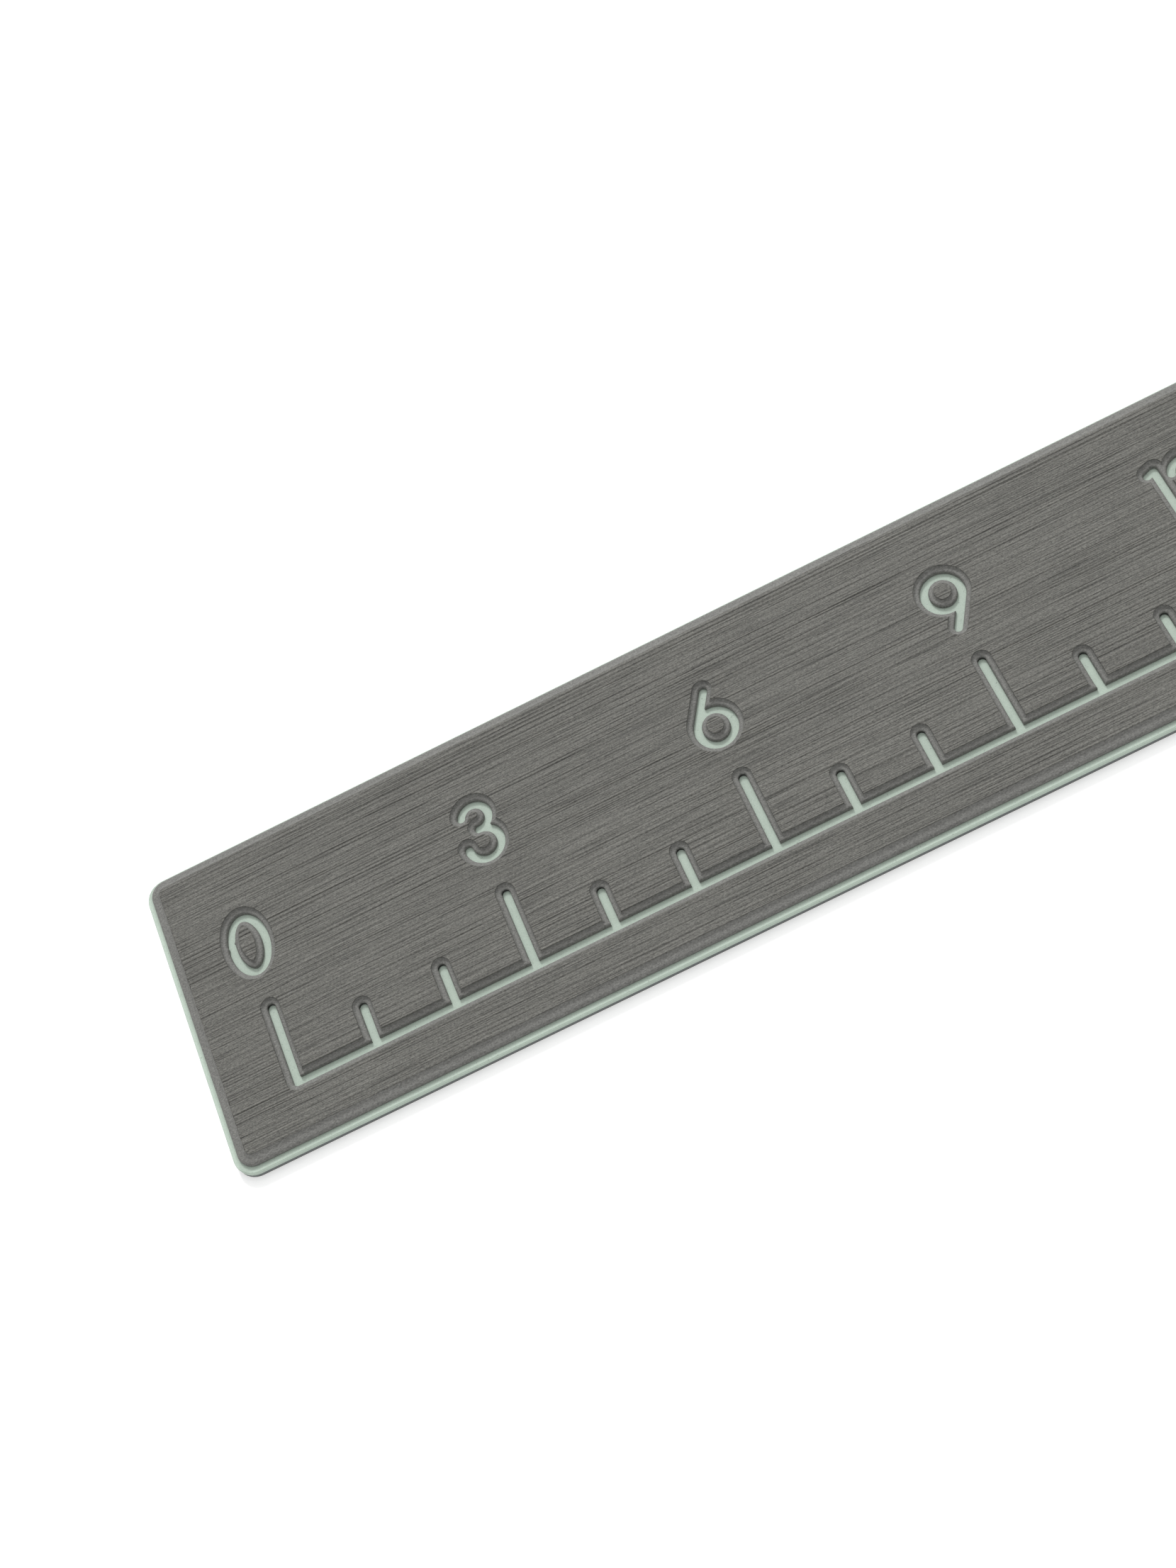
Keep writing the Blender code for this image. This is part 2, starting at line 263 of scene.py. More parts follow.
def segment_distance(points, segments):
    """Distance from each point to the nearest of the segments, as far as it matters."""
    nearest = np.full(len(points), FAR_REACH)
    x, y = points[:, 0].copy(), points[:, 1].copy()
    for x0, y0, x1, y1 in segments:
        reach = math.dist((x0, y0), (x1, y1)) / 2.0 + FAR_REACH
        beside = np.abs(x - (x0 + x1) / 2.0) < reach
        near = np.flatnonzero(beside & (np.abs(y - (y0 + y1) / 2.0) < reach))
        rel_x, rel_y = x[near] - x0, y[near] - y0
        run_x, run_y = x1 - x0, y1 - y0
        along = np.clip((rel_x * run_x + rel_y * run_y) / max(run_x ** 2 + run_y ** 2, 1e-12), 0.0, 1.0)
        gap = np.hypot(rel_x - along * run_x, rel_y - along * run_y)
        nearest[near] = np.minimum(nearest[near], gap)
    return nearest


def burr_table():
    """Every burr as x, y, growth and size."""
    burrs = [(tick_x(inch) + TICK_BURR[0], *TICK_BURR[1:]) for inch in range(1, SCALE_INCHES + 1)]
    burrs += [(tick_x(0) + x, y, growth, size) for x, y, growth, size in ZERO_BURRS]
    return [(x, BASE_LINE_Y + y, growth, size) for x, y, growth, size in burrs]


BURRS = burr_table()


def burr_growth(points):
    """How far the burrs push the foam's walls out over the routed floor."""
    growth = np.zeros(len(points))
    low, high = points.min(axis=0), points.max(axis=0)
    for x, y, most, size in BURRS:
        reach = BURR_CUTOFF * size
        across = low[0] < x + reach and x - reach < high[0]
        if across and low[1] < y + reach and y - reach < high[1]:
            near = np.abs(points - (x, y)).max(axis=1) < reach
            growth[near] += most * np.exp(-((points[near] - (x, y)) ** 2).sum(axis=1) / size ** 2)
    return growth


def comb_distance(points):
    """Distance from each point to the base line and its ticks."""
    x, y = points[:, 0], points[:, 1] - BASE_LINE_Y
    reach = tick_x(SCALE_INCHES)
    base = np.hypot(np.maximum(np.abs(x) - reach, 0.0), y)
    inch = np.clip(np.rint(x / INCH + SCALE_INCHES / 2.0), 0, SCALE_INCHES)
    ends = np.where(inch % NUMBER_STEP == 0, LONG_TICK, SHORT_TICK) - FLOOR_HALF
    over = np.maximum(np.maximum(y - ends, -y), 0.0)
    tick = np.hypot(x - (inch - SCALE_INCHES / 2.0) * INCH, over)
    return np.minimum(base, tick)


def edge_inset(points):
    """How far each point lies inside the top sheet's rounded outline."""
    half_x, half_y, middle_y, radius = SHEET_OUTLINE
    qx = np.abs(points[:, 0]) - (half_x - radius)
    qy = np.abs(points[:, 1] - middle_y) - (half_y - radius)
    outside = np.hypot(np.maximum(qx, 0.0), np.maximum(qy, 0.0))
    return radius - outside - np.minimum(np.maximum(qx, qy), 0.0)


NUMBERS = {inch: number_segments(inch) for inch in range(0, SCALE_INCHES + 1, NUMBER_STEP)}


def number_distance(points):
    """Distance from each point to the nearest number's centre lines."""
    nearest = np.full(len(points), FAR_REACH)
    for inch, segments in NUMBERS.items():
        near = np.abs(points[:, 0] - tick_x(inch)) < NUMBER_REACH
        near &= points[:, 1] > FIGURE_FOOT_Y - FAR_REACH
        if near.any():
            nearest[near] = np.minimum(nearest[near], segment_distance(points[near], segments))
    return nearest


def mark_distance(points):
    """Distance from each point to the nearest routed centre line, with the burrs' growth."""
    return np.minimum(comb_distance(points), number_distance(points)) + burr_growth(points)


# ---------------------------------------------------------------- cross-sections

def eased_rise(t, flat_at, start_slope, end_slope, flat_slope):
    """Height of a shoulder that is steep at both ends and nearly flat at flat_at, before scaling."""
    def area(u, peak, width):
        return flat_slope * u + (peak - flat_slope) * (width ** 3 - (width - u) ** 3) / (3.0 * width ** 2)

    first = area(np.minimum(t, flat_at), start_slope, flat_at)
    rest = np.maximum(t - flat_at, 0.0)
    width = 1.0 - flat_at
    second = flat_slope * rest + (end_slope - flat_slope) * rest ** 3 / (3.0 * width ** 2)
    return first + second


def shoulder_height(reach, start, crisp, flat_at, slopes):
    """Height above the floor at a given reach from the foot of a routed wall."""
    t = np.clip((reach - start) / (crisp - start), 0.0, 1.0)
    shape = eased_rise(t, flat_at, *slopes) / eased_rise(np.array(1.0), flat_at, *slopes)
    rise = SKIN_Z - FLOOR_Z - WALL_HEIGHT
    return FLOOR_Z + WALL_HEIGHT + rise * shape


def mark_height(reach):
    """Height of the top foam beside a mark."""
    height = shoulder_height(reach, FLOOR_HALF, MARK_CRISP, MARK_FLAT_AT, MARK_SLOPES)
    return np.where(reach >= MARK_CRISP, ABOVE_ALL, height)


def rim_height(inset):
    """Height of the top foam beside the ruler's outer edge."""
    height = shoulder_height(inset, 0.0, EDGE_CRISP, EDGE_FLAT_AT, EDGE_SLOPES)
    return np.where(inset >= EDGE_CRISP, ABOVE_ALL, height)


# ---------------------------------------------------------------- brushed relief

def streak_table(rng, length):
    """Random streak heights, a column for each length along the ruler and a row for each step across it."""
    rows = round(2.0 * HALF_Y / ROW_STEP) + 2
    table = rng.standard_normal((int(2.0 * HALF_X / length) + 3, rows))
    reach = np.arange(-STREAK_ROWS, STREAK_ROWS + 1) * ROW_STEP
    narrow = np.exp(-0.5 * (reach / STREAK_NARROW) ** 2)
    wide = np.exp(-0.5 * (reach / STREAK_WIDE) ** 2)
    kernel = narrow / narrow.sum() - wide / wide.sum()
    table = np.array([np.convolve(column, kernel, "same") for column in table])
    return table / table.std()


def streak_height(points, table, length):
    """Streak heights between the table's entries: eased along the ruler, straight across it."""
    u = (points[:, 0] + HALF_X) / length
    v = (points[:, 1] + HALF_Y) / ROW_STEP
    i = np.floor(u).astype(int)
    j = np.floor(v).astype(int)
    fu = u - i
    fu = fu * fu * (3.0 - 2.0 * fu)
    fv = v - j
    low = table[i, j] * (1.0 - fv) + table[i, j + 1] * fv
    high = table[i + 1, j] * (1.0 - fv) + table[i + 1, j + 1] * fv
    return (low * (1.0 - fu) + high * fu) / np.hypot(1.0 - fu, fu)


def brushed_relief(points):
    """How far the brushed skin lies below its highest level, in millimetres."""
    rng = np.random.default_rng(SEED)
    streaks = 0.0
    for length, weight in STREAKS:
        streaks = streaks + weight * streak_height(points, streak_table(rng, length), length)
    streaks = streaks / math.hypot(*(weight for _, weight in STREAKS))
    return np.clip(STREAK_MEAN + STREAK_DEPTH * streaks, 0.0, DEEPEST_STREAK)


def skin_height(points):
    """Height of the top foam anywhere on the ruler."""
    plateau = SKIN_Z - brushed_relief(points)
    height = np.minimum(plateau, mark_height(mark_distance(points)))
    return np.minimum(height, rim_height(edge_inset(points)))


# ---------------------------------------------------------------- outlines

def number_outlines(segments, levels):
    """For each level, the closed outlines at that distance from a number's centre lines."""
    pad = max(levels) + 3.0 * GRID_STEP
    low = np.minimum(segments[:, :2].min(0), segments[:, 2:].min(0)) - pad
    high = np.maximum(segments[:, :2].max(0), segments[:, 2:].max(0)) + pad
    xs = np.arange(low[0], high[0], GRID_STEP)
    ys = np.arange(low[1], high[1], GRID_STEP)
    grid = np.stack(np.meshgrid(xs, ys, indexing="ij"), axis=-1)

    def field(points):
        return segment_distance(points, segments) + burr_growth(points)

    heights = field(grid.reshape(-1, 2)).reshape(len(xs), len(ys))
    found = []
    for level in levels:
        loops = [settle(loop, field, level) for loop in march(grid, heights - level)]
        found.append([trim_loop(spaced(loop)) for loop in loops])
    return found


def march(grid, field):
    """Closed outlines where a field on a grid crosses zero, by marching squares."""
    inside = field < 0.0
    links = {}
    corners = inside[:-1, :-1].astype(int) + inside[1:, :-1] + inside[1:, 1:] + inside[:-1, 1:]
    for i, j in np.argwhere((corners > 0) & (corners < 4)).tolist():
        around = [inside[i, j], inside[i + 1, j], inside[i + 1, j + 1], inside[i, j + 1]]
        sides = [(0, i, j), (1, i + 1, j), (0, i, j + 1), (1, i, j)]
        cut = [sides[k] for k in range(4) if around[k] != around[(k + 1) % 4]]
        if len(cut) == 4 and (field[i:i + 2, j:j + 2].mean() < 0.0) != around[0]:
            cut = cut[3:] + cut[:3]
        for a, b in zip(cut[::2], cut[1::2]):
            links.setdefault(a, []).append(b)
            links.setdefault(b, []).append(a)
    loops = []
    while links:
        start = next(iter(links))
        chain = [start]
        before, here = start, links.pop(start)[0]
        while here != start:
            chain.append(here)
            ahead = [key for key in links.pop(here) if key != before]
            before, here = here, ahead[0]
        loops.append(np.array([crossing(grid, field, key) for key in chain]))
    return loops


def crossing(grid, field, key):
    """Place on a grid edge where the field is zero."""
    axis, i, j = key
    k, m = (i + 1, j) if axis == 0 else (i, j + 1)
    share = field[i, j] / (field[i, j] - field[k, m])
    return grid[i, j] + (grid[k, m] - grid[i, j]) * share


def settle(points, field, level):
    """Move outline points onto a level of a distance field, but for those where two distances meet."""
    nudge, least_slope, longest_step = 1e-4, 0.8, 0.04
    for _ in range(2):
        here = field(points)
        right = field(points + (nudge, 0.0)) - here
        ahead = field(points + (0.0, nudge)) - here
        slope = np.stack([right, ahead], axis=1) / nudge
        size = (slope ** 2).sum(1)
        step = np.where(size > least_slope, (level - here) / np.maximum(size, least_slope), 0.0)
        points = points + slope * np.clip(step, -longest_step, longest_step)[:, None]
    return points


def spaced(points):
    """Drop the points of a closed outline that lie almost on the one before."""
    kept = [points[0]]
    for point in points[1:]:
        if min(math.dist(point, kept[-1]), math.dist(point, points[0])) > LEAST_SPACE:
            kept.append(point)
    return np.array(kept)


def trim_run(points):
    """Drop the points of an open run that lie on a straight line (Douglas and Peucker)."""
    keep = np.zeros(len(points), dtype=bool)
    keep[[0, -1]] = True
    stack = [(0, len(points) - 1)]
    while stack:
        a, b = stack.pop()
        if b - a < 2:
            continue
        run = points[b] - points[a]
        rel = points[a + 1:b] - points[a]
        off = np.abs(run[0] * rel[:, 1] - run[1] * rel[:, 0]) / max(np.hypot(*run), 1e-9)
        k = int(off.argmax())
        if off[k] > TRIM_TOLERANCE:
            keep[a + 1 + k] = True
            stack += [(a, a + 1 + k), (a + 1 + k, b)]
    return points[keep]


def trim_loop(points):
    """Drop the needless points of a closed outline."""
    far = int(np.hypot(*(points - points[0]).T).argmax())
    first = trim_run(points[:far + 1])
    second = trim_run(np.vstack([points[far:], points[:1]]))
    return np.vstack([first[:-1], second[:-1]])


def divide(points):
    """Add points to a closed outline: far apart in general, and close together near a burr."""
    places = np.array([burr[:2] for burr in BURRS])
    out = []
    for here, ahead in zip(points, np.roll(points, -1, axis=0)):
        length = math.dist(here, ahead)
        sides = max(1, math.ceil(length / SIDE_LENGTH))
        parts = max(1, math.ceil(length / sides / BURR_STEP))
        fine = here + (ahead - here) * (np.arange(sides * parts) / (sides * parts))[:, None]
        gaps = np.abs(fine[:, None, :] - places[None, :, :]).max(axis=2).min(axis=1)
        keep = gaps < BURR_REACH
        keep[::parts] = True
        out.extend(fine[keep])
    return np.array(out)


def cut_at_rows(points):
    """Add points to a closed outline where it crosses the rows of the brushed relief."""
    out = []
    for here, ahead in zip(points, np.roll(points, -1, axis=0)):
        start, end = (here[1] + HALF_Y) / ROW_STEP, (ahead[1] + HALF_Y) / ROW_STEP
        rows = np.arange(math.ceil(min(start, end)), math.floor(max(start, end)) + 1)
        shares = np.sort((rows - start) / (end - start)) if len(rows) else rows
        shares = shares[(shares > LEAST_SHARE) & (shares < 1.0 - LEAST_SHARE)]
        out.extend([here, *(here + (ahead - here) * share for share in shares)])
    return np.array(out)


def round_corner(cx, cy, radius, start, steps):
    """A quarter turn, counter-clockwise from a start angle in degrees."""
    angles = np.radians(np.linspace(start, start + 90.0, steps + 1))
    return np.stack([cx + radius * np.cos(angles), cy + radius * np.sin(angles)], axis=1)


def rim_loop(outline, inset):
    """A rounded outline moved inwards."""
    half_x, half_y, middle_y, radius = outline
    x, y = half_x - radius, half_y - radius
    near, far = middle_y - y, middle_y + y
    places = ((x, far, 0.0), (-x, far, 90.0), (-x, near, 180.0), (x, near, 270.0))
    corners = [round_corner(cx, cy, radius - inset, start, CORNER_STEPS) for cx, cy, start in places]
    return np.vstack(corners)


def comb_loop(level):
    """Outline of the base line and its ticks at one distance from their centre lines."""
    first, last = tick_x(0), tick_x(SCALE_INCHES)
    parts = [round_corner(first, BASE_LINE_Y, level, 180.0, BASE_END_STEPS)]
    parts.append(round_corner(last, BASE_LINE_Y, level, 270.0, BASE_END_STEPS))
    for inch in range(SCALE_INCHES, -1, -1):
        x = tick_x(inch)
        end = BASE_LINE_Y + (LONG_TICK if inch % NUMBER_STEP == 0 else SHORT_TICK) - FLOOR_HALF
        if inch < SCALE_INCHES:
            parts.append(line((x + level, BASE_LINE_Y + level)))
        parts.append(round_corner(x, end, level, 0.0, TICK_END_STEPS))
        parts.append(round_corner(x, end, level, 90.0, TICK_END_STEPS)[1:])
        if inch > 0:
            parts.append(line((x - level, BASE_LINE_Y + level)))
    return np.vstack(parts)


# ---------------------------------------------------------------- triangulation

def triangulate(loops, loose=np.empty((0, 2)), stretch=1.0):
    """Constrained Delaunay triangles of outlines and loose points, as rows of indices, facing up."""
    points = np.vstack(loops + [loose])
    edges = []
    start = 0
    for loop in loops:
        count = len(loop)
        edges += [(start + k, start + (k + 1) % count) for k in range(count)]
        start += count
    scaled = [Vector(point) for point in (points / (stretch, 1.0)).tolist()]
    weld = 1e-9
    result = delaunay_2d_cdt(scaled, edges, [], 0, weld, True)
    source = np.array([indices[0] for indices in result[3]])
    faces = source[np.array(result[2], dtype=int)]
    a, b, c = (points[faces[:, k]] for k in range(3))
    turn = (b[:, 0] - a[:, 0]) * (c[:, 1] - a[:, 1]) - (b[:, 1] - a[:, 1]) * (c[:, 0] - a[:, 0])
    faces[turn < 0.0] = faces[turn < 0.0][:, ::-1]
    return faces


def connected(rows, count):
    """A label for each index, the same for indices that stand in one row."""
    label = np.arange(count)
    while True:
        least = label[rows].min(axis=1)
        if (label[rows] == least[:, None]).all():
            return label
        for column in rows.T:
            np.minimum.at(label, label[column], least)
        while (label[label] != label).any():
            label = label[label]


def kept_patches(points, faces, loops, wanted):
    """The triangles of each patch between outlines whose largest triangle is wanted."""
    fences = []
    start = 0
    for loop in loops:
        here = start + np.arange(len(loop))
        fences.append(np.sort(np.stack([here, start + (here - start + 1) % len(loop)], axis=1), axis=1))
        start += len(loop)
    count = len(points)
    fences = np.vstack(fences) @ (count, 1)
    sides = np.sort(np.vstack([faces[:, (0, 1)], faces[:, (1, 2)], faces[:, (2, 0)]]), axis=1) @ (count, 1)
    owners = np.tile(np.arange(len(faces)), 3)[~np.isin(sides, fences)]
    sides = sides[~np.isin(sides, fences)]
    order = np.argsort(sides, kind="stable")
    same = sides[order][1:] == sides[order][:-1]
    pairs = np.stack([owners[order][:-1][same], owners[order][1:][same]], axis=1)
    label = connected(pairs, len(faces))
    a, b, c = (points[faces[:, k]] for k in range(3))
    area = np.abs((b[:, 0] - a[:, 0]) * (c[:, 1] - a[:, 1]) - (b[:, 1] - a[:, 1]) * (c[:, 0] - a[:, 0]))
    largest = {label[k]: k for k in np.argsort(area, kind="stable")}
    chosen = np.array([largest[k] for k in label])
    return faces[wanted((a + b + c)[chosen] / 3.0) & (area[chosen] > LEAST_AREA)]


def open_edges(faces):
    """Directed edges that only one triangle uses."""
    directed = np.vstack([faces[:, (0, 1)], faces[:, (1, 2)], faces[:, (2, 0)]])
    present = set(map(tuple, directed.tolist()))
    return [(a, b) for a, b in present if (b, a) not in present]


def make_mesh(name, places, faces):
    """A mesh from millimetre points and triangles, smooth but for its sharp edges."""
    mesh = bpy.data.meshes.new(name)
    mesh.vertices.add(len(places))
    mesh.vertices.foreach_set("co", (places * MM).astype(np.float32).ravel())
    mesh.loops.add(3 * len(faces))
    mesh.loops.foreach_set("vertex_index", faces.astype(np.int32).ravel())
    mesh.polygons.add(len(faces))
    mesh.polygons.foreach_set("loop_start", np.arange(0, 3 * len(faces), 3, dtype=np.int32))
    mesh.update(calc_edges=True)
    mesh.shade_smooth()
    mesh.set_sharp_from_angle(angle=SHARP_ANGLE)
    return mesh


def closed_piece(name, top, faces, under_faces, bottom):
    """A solid from an upper surface, straight walls below its border and a flat underside."""
    count = len(top)
    under = np.column_stack([top[:, :2], np.full(count, bottom)])
    walls = []
    for a, b in sorted(open_edges(faces)):
        walls += [(b, a, a + count), (b, a + count, b + count)]
    joined = np.vstack([faces, under_faces[:, ::-1] + count, np.array(walls)])
    used, flat = np.unique(joined, return_inverse=True)
    return make_mesh(name, np.vstack([top, under])[used], flat.reshape(joined.shape))


# ---------------------------------------------------------------- top foam

def lattice():
    """Loose points on the flat skin, in rows along the ruler, each row shifted by a share of a step."""
    rows = np.arange(-HALF_Y + ROW_STEP, HALF_Y, ROW_STEP)
    columns = np.arange(-HALF_X, HALF_X, COLUMN_STEP)
    shift = (np.arange(len(rows)) * GOLDEN_SHARE % 1.0) * COLUMN_STEP
    x = columns[None, :] + shift[:, None]
    y = np.broadcast_to(rows[:, None], x.shape)
    points = np.stack([x.ravel(), y.ravel()], axis=1)
    points = points[edge_inset(points) > EDGE_CRISP + CLEARANCE]
    return points[mark_distance(points) > MARK_CRISP + CLEARANCE]


def comb_field(points):
    """Distance to the base line and its ticks, with the burrs' growth."""
    return comb_distance(points) + burr_growth(points)


def top_foam_loops():
    """Outlines at the foot of the top foam's walls, on its shoulders and at the shoulders' crisp edges."""
    marks = FLOOR_HALF + (MARK_CRISP - FLOOR_HALF) * SHOULDER_SHARES
    combs = [settle(divide(comb_loop(level)), comb_field, level) for level in marks]
    rims = [divide(rim_loop(SHEET_OUTLINE, EDGE_CRISP * share)) for share in SHOULDER_SHARES]
    feet = [rims[0], combs[0]]
    middles = rims[1:-1] + combs[1:-1]
    crisps = [rims[-1], combs[-1]]
    for segments in NUMBERS.values():
        outlines = number_outlines(segments, marks)
        feet += outlines[0]
        crisps += [divide(loop) for loop in outlines[-1]]
        for loops in outlines[1:-1]:
            middles += loops
    return feet, middles, [cut_at_rows(loop) for loop in crisps]


def top_foam_meshes():
    """Meshes of the routed sheet and its islands, by CAD node."""
    feet, middles, crisps = top_foam_loops()
    loose = lattice()
    plan = np.vstack(feet + middles + crisps + [loose])
    first_crisp = sum(len(loop) for loop in feet + middles)
    shoulder = triangulate(feet + middles + crisps)
    shoulder = kept_patches(plan, shoulder, feet + middles + crisps, on_shoulder)
    skin = kept_patches(plan[first_crisp:], triangulate(crisps, loose, STRETCH), crisps, on_skin)
    under = kept_patches(plan, triangulate(feet, stretch=STRETCH), feet, on_foam)
    faces = np.vstack([shoulder, skin + first_crisp])
    top = np.column_stack([plan, skin_height(plan)])
    label = connected(faces, len(plan))
    groups, counts = np.unique(label[faces[:, 0]], return_counts=True)
    meshes = {}
    for group in groups:
        part = faces[label[faces[:, 0]] == group]
        if group == groups[counts.argmax()]:
            node = "top_foam_sheet"
        else:
            node = nearest_island(top[np.unique(part)])
        meshes[node] = closed_piece(node, top, part, under[label[under[:, 0]] == group], FLOOR_Z)
    return meshes


def on_foam(points):
    """Which points of the plan lie on the top foam, off the routed floor and the bare ledge."""
    return (mark_distance(points) > FLOOR_HALF) & (edge_inset(points) > 0.0)


def on_skin(points):
    """Which points of the plan lie on the brushed skin, inside the crisp edges."""
    return (mark_distance(points) > MARK_CRISP) & (edge_inset(points) > EDGE_CRISP)


def on_shoulder(points):
    """Which points of the plan lie on a routed shoulder."""
    return on_foam(points) & ~on_skin(points)


def nearest_island(points):
    """The CAD island whose middle is nearest to the middle of the points."""
    middle = (points.min(0) + points.max(0)) / 2.0

    def gap(node):
        low, high = box_mm(node)
        return math.hypot((low[0] + high[0]) / 2.0 - middle[0], (low[1] + high[1]) / 2.0 - middle[1])

    return min((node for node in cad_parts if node.startswith("island")), key=gap)


# ---------------------------------------------------------------- plain layers

def ring(inset, height):
    """One level of a plain layer's side."""
    plan = rim_loop(LAYER_OUTLINE, inset)
    return np.column_stack([plan, np.full(len(plan), height)])


def slab_mesh(name, section):
    """A plain layer from its side's section, pairs of inset and height from the bottom up."""
    rings = [ring(inset, height) for inset, height in section]
    count = len(rings[0])
    walls = []
    for level in range(len(rings) - 1):
        for k in range(count):
            a, b = level * count + k, level * count + (k + 1) % count
            walls += [(a, b, b + count), (a, b + count, a + count)]
    cap = triangulate([rings[0][:, :2]])
    top = cap + (len(rings) - 1) * count
    return make_mesh(name, np.vstack(rings), np.vstack([cap[:, ::-1], np.array(walls), top]))


def rounded_section(low, high, radius, steps=5):
    """A side that stands straight and turns over onto the upper face."""
    section = [(0.0, low), (0.0, high - radius)]
    for k in range(1, steps + 1):
        angle = math.radians(90.0 * k / steps)
        section.append((radius * (1.0 - math.cos(angle)), high - radius * (1.0 - math.sin(angle))))
    section.append((radius + MINT_BAND, high))
    return section


# ---------------------------------------------------------------- materials

class Paint:
    """Adds nodes to one material."""

    def __init__(self, name):
        self.material = bpy.data.materials.new(name)
        self.material.use_nodes = True
        self.tree = self.material.node_tree
        self.surface = self.tree.nodes["Principled BSDF"]
        self.place = self.tree.nodes.new("ShaderNodeTexCoord").outputs["Object"]

    def join(self, value, socket):
        """Feed a socket from a node's output or a plain value."""
        if isinstance(value, bpy.types.NodeSocket):
            self.tree.links.new(value, socket)
        else:
            socket.default_value = value

    def noise(self, cells, detail=2.0, roughness=0.5):
        """Noise whose grain has the given size in millimetres along X, Y and Z."""
        mapping = self.tree.nodes.new("ShaderNodeMapping")
        mapping.inputs["Scale"].default_value = [1.0 / (cell * MM) for cell in cells]
        self.join(self.place, mapping.inputs["Vector"])
        node = self.tree.nodes.new("ShaderNodeTexNoise")
        node.inputs["Scale"].default_value = 1.0
        node.inputs["Detail"].default_value = detail
        node.inputs["Roughness"].default_value = roughness
        self.join(mapping.outputs["Vector"], node.inputs["Vector"])
        return node.outputs["Fac"]

    def fit(self, value, low, high, to_low, to_high):
        """Map a value from one range to another, held at both ends."""
        node = self.tree.nodes.new("ShaderNodeMapRange")
        for socket, number in zip(list(node.inputs)[1:5], (low, high, to_low, to_high)):
            socket.default_value = number
        self.join(value, node.inputs["Value"])
        return node.outputs["Result"]

    def math(self, operation, first, second):
        """Arithmetic on two values."""
        node = self.tree.nodes.new("ShaderNodeMath")
        node.operation = operation
        self.join(first, node.inputs[0])
        self.join(second, node.inputs[1])
        return node.outputs[0]

    def axes(self):
        """The three coordinates of a place on the piece."""
        node = self.tree.nodes.new("ShaderNodeSeparateXYZ")
        self.join(self.place, node.inputs[0])
        return node.outputs

    def product(self, first, *others):
        """The product of several values."""
        for other in others:
            first = self.math("MULTIPLY", first, other)
        return first

    def mix(self, share, first, second):
        """Blend two colours."""
        node = self.tree.nodes.new("ShaderNodeMix")
        node.data_type = "RGBA"
        self.join(share, node.inputs[0])
        self.join(first, node.inputs[6])
        self.join(second, node.inputs[7])
        return node.outputs[2]

    def scaled(self, colour, factor):
        """A colour made lighter or darker by a factor."""
        node = self.tree.nodes.new("ShaderNodeVectorMath")
        node.operation = "SCALE"
        self.join(colour, node.inputs[0])
        self.join(factor, node.inputs["Scale"])
        return node.outputs[0]

    def bump(self, height, depth):
        """Bump of a real depth in millimetres for a height from 0 to 1."""
        node = self.tree.nodes.new("ShaderNodeBump")
        node.inputs["Strength"].default_value = 1.0
        node.inputs["Distance"].default_value = depth * MM
        self.join(height, node.inputs["Height"])
        self.join(node.outputs["Normal"], self.surface.inputs["Normal"])

    def finish(self, colour, roughness, specular=0.5):
        """Set the surface and return the material."""
        self.join(colour, self.surface.inputs["Base Color"])
        self.join(roughness, self.surface.inputs["Roughness"])
        self.surface.inputs["Specular IOR Level"].default_value = specular
        return self.material


def tick_end_shade(paint, axes):
    """Darkens the wall at the far end of each tick with painted shade, nearly black like the deep shadow
    there.
    """
    wall_top, fade = FLOOR_Z + WALL_HEIGHT, 0.2
    dark_half, dark_end, setback = 0.8, 1.3, 0.2
    beside_long = 4.0
    wall = paint.fit(axes["Z"], wall_top * MM, (wall_top + fade) * MM, 1.0, 0.0)
    from_long = paint.math("PINGPONG", axes["X"], NUMBER_STEP * INCH / 2.0 * MM)
    short_only = paint.math("GREATER_THAN", from_long, beside_long * MM)
    ends = []
    for length in (LONG_TICK, SHORT_TICK):
        away = paint.math("SUBTRACT", axes["Y"], (BASE_LINE_Y + length - setback) * MM)
        ends.append(paint.fit(paint.math("ABSOLUTE", away, 0.0), dark_half * MM, dark_end * MM, 1.0, 0.0))
    end = paint.math("MAXIMUM", ends[0], paint.product(ends[1], short_only))
    return paint.fit(paint.product(end, wall), 0.0, 1.0, 1.0, TICK_END_PAINTED_SHADE)


